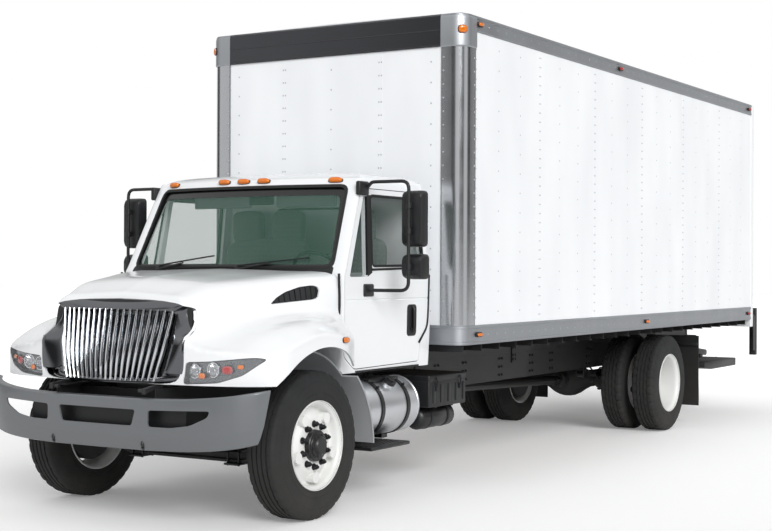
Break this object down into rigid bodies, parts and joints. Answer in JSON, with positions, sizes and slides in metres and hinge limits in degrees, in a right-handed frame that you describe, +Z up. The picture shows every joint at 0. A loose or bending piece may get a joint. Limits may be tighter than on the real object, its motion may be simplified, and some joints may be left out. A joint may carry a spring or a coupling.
{
  "type": "box truck",
  "caption": "Conventional-cab box truck with a white van body, tilting hood, twin rear wheels, fuel tank, steps and a stowed liftgate.",
  "frame": {"origin": "middle of the whole truck in X and Y, on the ground", "axes": "+Z up; the front faces -Y; the driver's side, on the truck's left, is +X"},
  "size_m": [2.764, 10.397, 3.66],
  "materials": {
    "white_paint": "satin",
    "white_wheel": "satin",
    "body_panel": "satin",
    "chassis_black": "matte",
    "bumper_grey": "satin",
    "guard_grey": "matte",
    "chrome": "gloss",
    "tank_aluminium": "satin",
    "rail_aluminium": "satin",
    "post_steel": "satin",
    "exhaust_steel": "matte",
    "iron": "matte",
    "tyre": "matte",
    "flap_rubber": "matte",
    "black_plastic": "matte",
    "dash_plastic": "matte",
    "lamp_lens": "gloss",
    "seat_fabric": "matte",
    "tinted_glass": "gloss",
    "deck_wood": "matte"
  },
  "bodies": {
    "chassis": {"frame_rails": "chassis_black", "front_bumper": "bumper_grey", "front_axle": "iron", "rear_axle": "iron", "engine_block": "iron", "propeller_shaft": "iron", "radiator": "chassis_black", "fuel_tank": "tank_aluminium", "tank_steps": "chassis_black", "battery_box": "chassis_black", "step_box_right": "chassis_black", "muffler": "exhaust_steel", "splash_guard_left": "guard_grey", "splash_guard_right": "guard_grey", "mudflap_left": "flap_rubber", "mudflap_right": "flap_rubber", "cab_shell": "white_paint", "windshield": "tinted_glass", "rear_window": "tinted_glass", "dashboard": "dash_plastic", "steering_wheel": "black_plastic", "driver_seat": "seat_fabric", "passenger_bench": "seat_fabric", "box_floor": "deck_wood", "bottom_rail": "rail_aluminium", "side_wall_left": "body_panel", "side_wall_right": "body_panel", "front_wall": "body_panel", "corner_post_left": "post_steel", "corner_post_right": "post_steel", "top_rail": "rail_aluminium", "roof_panel": "body_panel", "rear_frame": "white_paint", "rear_door": "body_panel", "liftgate_frame": "chassis_black"},
    "knuckle_left": {"knuckle_left": "iron"},
    "wheel_front_left": {"front_rim_left": "white_wheel", "front_tyre_left": "tyre"},
    "wheel_rear_left": {"rear_rims_left": "white_wheel", "rear_tyre_outer_left": "tyre", "rear_tyre_inner_left": "tyre"},
    "door_left": {"door_left": "white_paint", "door_glass_left": "tinted_glass", "mirror_left": "black_plastic"},
    "knuckle_right": {"knuckle_right": "iron"},
    "wheel_front_right": {"front_rim_right": "white_wheel", "front_tyre_right": "tyre"},
    "wheel_rear_right": {"rear_rims_right": "white_wheel", "rear_tyre_outer_right": "tyre", "rear_tyre_inner_right": "tyre"},
    "door_right": {"door_right": "white_paint", "door_glass_right": "tinted_glass", "mirror_right": "black_plastic"},
    "hood": {"hood": "white_paint", "grille": "chrome", "headlamp_left": "lamp_lens", "headlamp_right": "lamp_lens"},
    "liftgate_arms": {"liftgate_arms": "chassis_black"},
    "liftgate_platform": {"liftgate_platform": "chassis_black"}
  },
  "joints": [
    {"name": "steer_left", "type": "hinge", "parent": "chassis", "child": "knuckle_left", "pos_m": [0.8, -4.2435, 0.497], "axis": [0, 0, 1], "range_deg": [-40, 40]},
    {"name": "roll_front_left", "type": "hinge", "parent": "knuckle_left", "child": "wheel_front_left", "pos_m": [0.97, -4.2435, 0.497], "axis": [1, 0, 0], "continuous": true},
    {"name": "roll_rear_left", "type": "hinge", "parent": "chassis", "child": "wheel_rear_left", "pos_m": [1.031, 2.2085, 0.497], "axis": [1, 0, 0], "continuous": true},
    {"name": "open_door_left", "type": "hinge", "parent": "chassis", "child": "door_left", "pos_m": [1, -3.7975, 0.94], "axis": [0, 0, -1], "range_deg": [0, 70]},
    {"name": "steer_right", "type": "hinge", "parent": "chassis", "child": "knuckle_right", "pos_m": [-0.8, -4.2435, 0.497], "axis": [0, 0, 1], "range_deg": [-40, 40]},
    {"name": "roll_front_right", "type": "hinge", "parent": "knuckle_right", "child": "wheel_front_right", "pos_m": [-0.97, -4.2435, 0.497], "axis": [1, 0, 0], "continuous": true},
    {"name": "roll_rear_right", "type": "hinge", "parent": "chassis", "child": "wheel_rear_right", "pos_m": [-1.031, 2.2085, 0.497], "axis": [1, 0, 0], "continuous": true},
    {"name": "open_door_right", "type": "hinge", "parent": "chassis", "child": "door_right", "pos_m": [-1, -3.7975, 0.94], "axis": [0, 0, 1], "range_deg": [0, 70]},
    {"name": "tilt_hood", "type": "hinge", "parent": "chassis", "child": "hood", "pos_m": [0, -5.1735, 0.89], "axis": [1, 0, 0], "range_deg": [0, 75]},
    {"name": "lower_lift", "type": "hinge", "parent": "chassis", "child": "liftgate_arms", "pos_m": [0, 4.3065, 0.74], "axis": [-1, 0, 0], "range_deg": [0, 41]},
    {"name": "level_platform", "type": "hinge", "parent": "liftgate_arms", "child": "liftgate_platform", "pos_m": [0, 5.0765, 0.66], "axis": [-1, 0, 0], "range_deg": [-41, 0]}
  ],
  "couplings": [
    {"joint": "steer_right", "follows": "steer_left", "ratio": 1},
    {"joint": "level_platform", "follows": "lower_lift", "ratio": -1}
  ]
}
